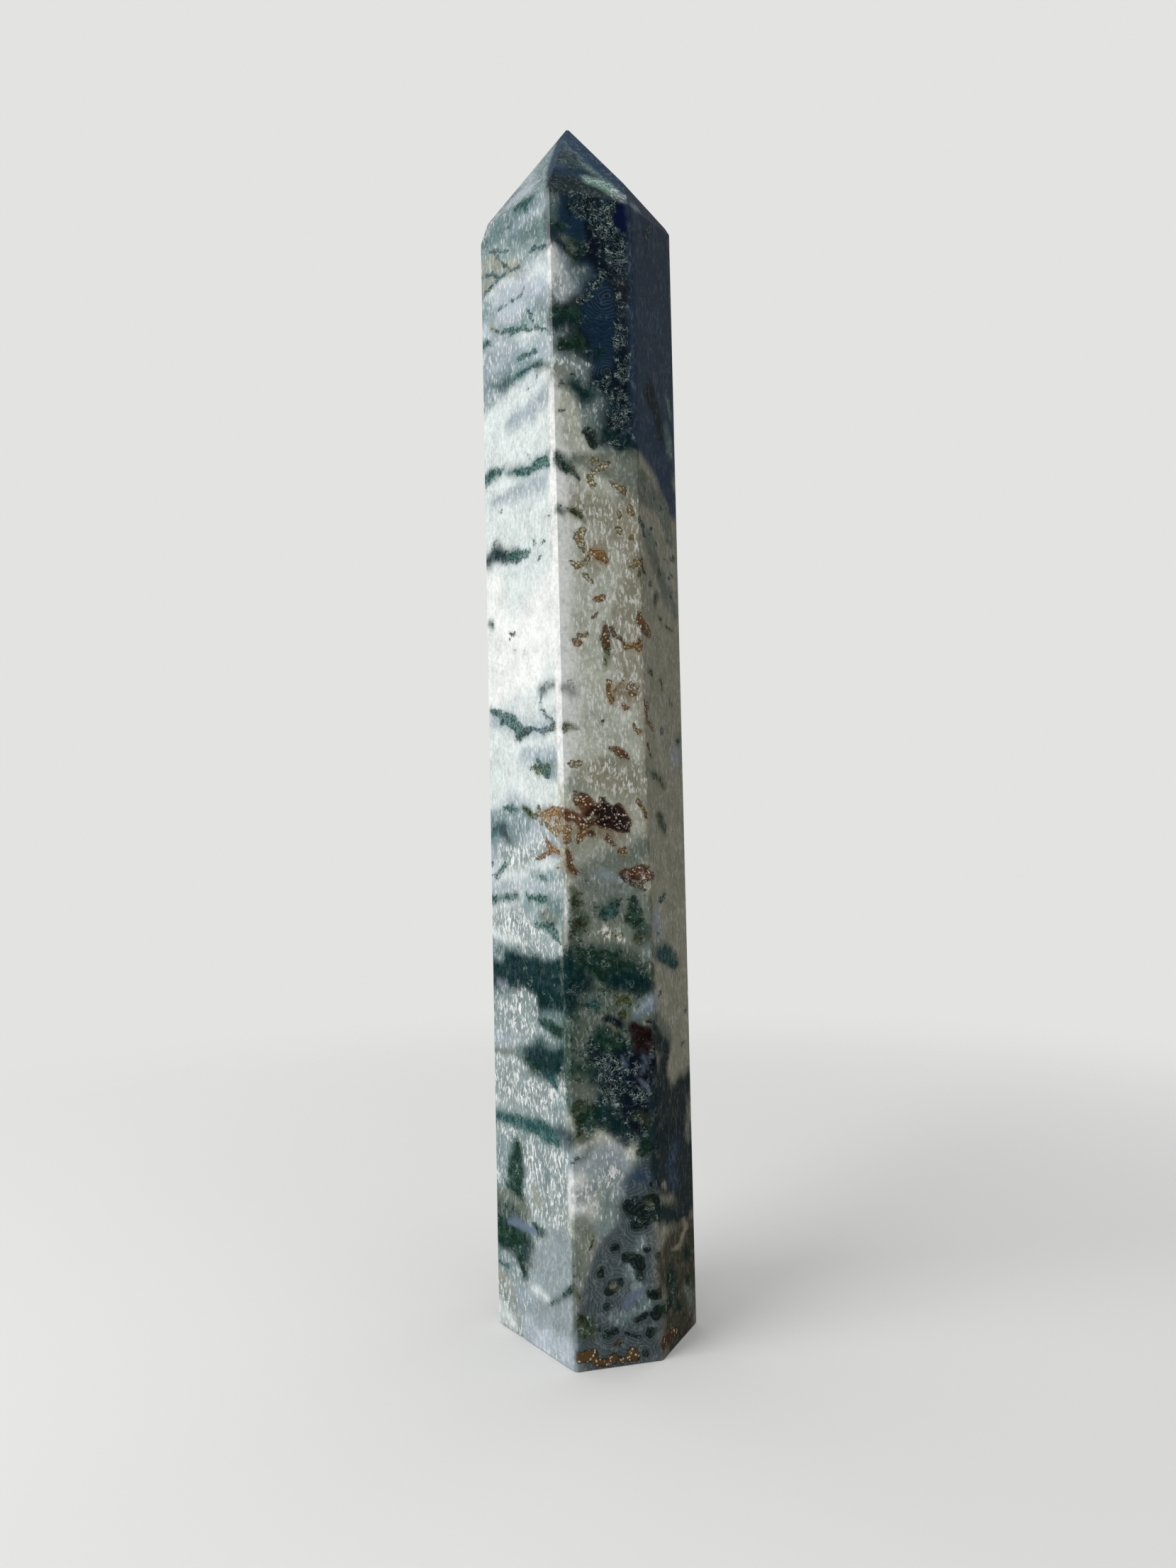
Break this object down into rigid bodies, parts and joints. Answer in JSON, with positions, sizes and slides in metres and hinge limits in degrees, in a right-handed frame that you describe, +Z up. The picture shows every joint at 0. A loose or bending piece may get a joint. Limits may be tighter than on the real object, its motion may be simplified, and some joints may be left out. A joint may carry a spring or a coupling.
{
  "type": "moss agate tower",
  "caption": "Tall six-sided column of polished moss agate with a faceted point at the top and a flat sawn base, so that it stands upright by itself.",
  "frame": {"origin": "on the sawn base, under the middle of the column's box", "axes": "+Z up the column to its point, -Y towards the front face"},
  "size_m": [0.0486, 0.0492, 0.3],
  "materials": {
    "moss_agate": "polished moss agate, milky and slate blue with green moss and brown iron inclusions"
  },
  "bodies": {
    "root": {"tower": "moss_agate"}
  },
  "joints": []
}
